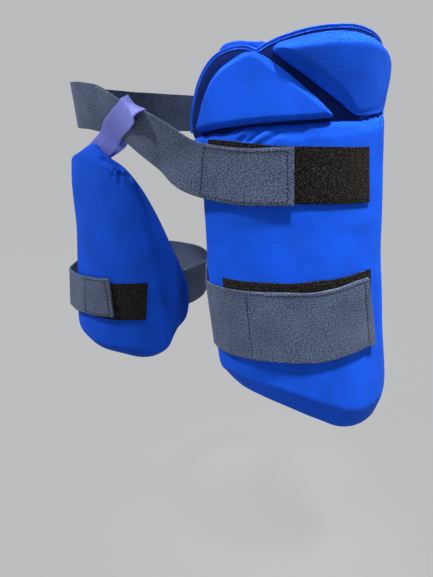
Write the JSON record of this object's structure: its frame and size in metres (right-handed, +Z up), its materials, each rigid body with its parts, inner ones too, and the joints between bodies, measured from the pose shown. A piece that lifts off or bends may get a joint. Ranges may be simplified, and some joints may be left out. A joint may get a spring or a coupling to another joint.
{
  "type": "cricket thigh guard",
  "caption": "Curved foam guards for both thighs with a hip flap, joined by an elastic waist belt, thigh straps and a webbing hanger.",
  "frame": {"origin": "centre of the waist belt's loop, where a waist sits", "axes": "+Z up, the wearer faces -Y, the wearer's left is +X"},
  "size_m": [0.419, 0.2769, 0.4084],
  "materials": {
    "pad_cloth": "royal blue fine-knit cloth over moulded foam, matt",
    "binding_tape": "rolled blue edge binding with two raised lines",
    "elastic_band": "grey-navy brushed elastic with speckled pile and stitched ends",
    "loop_pile": "black fuzzy loop pile with brown specks",
    "hanger_webbing": "ribbed blue-violet webbing with a fine cross weave"
  },
  "bodies": {
    "root": {"thigh_pad": "pad_cloth", "seam_band": "pad_cloth", "hip_backing": "pad_cloth", "hip_block_front": "pad_cloth", "hip_block_rear": "pad_cloth", "hip_binding": "binding_tape", "waist_loop_patch": "loop_pile", "thigh_loop_patch": "loop_pile", "thigh_strap": "elastic_band", "waist_belt": "elastic_band", "inner_pad": "pad_cloth", "inner_loop_patch": "loop_pile", "inner_strap": "elastic_band", "webbing_loop": "hanger_webbing"}
  },
  "joints": []
}
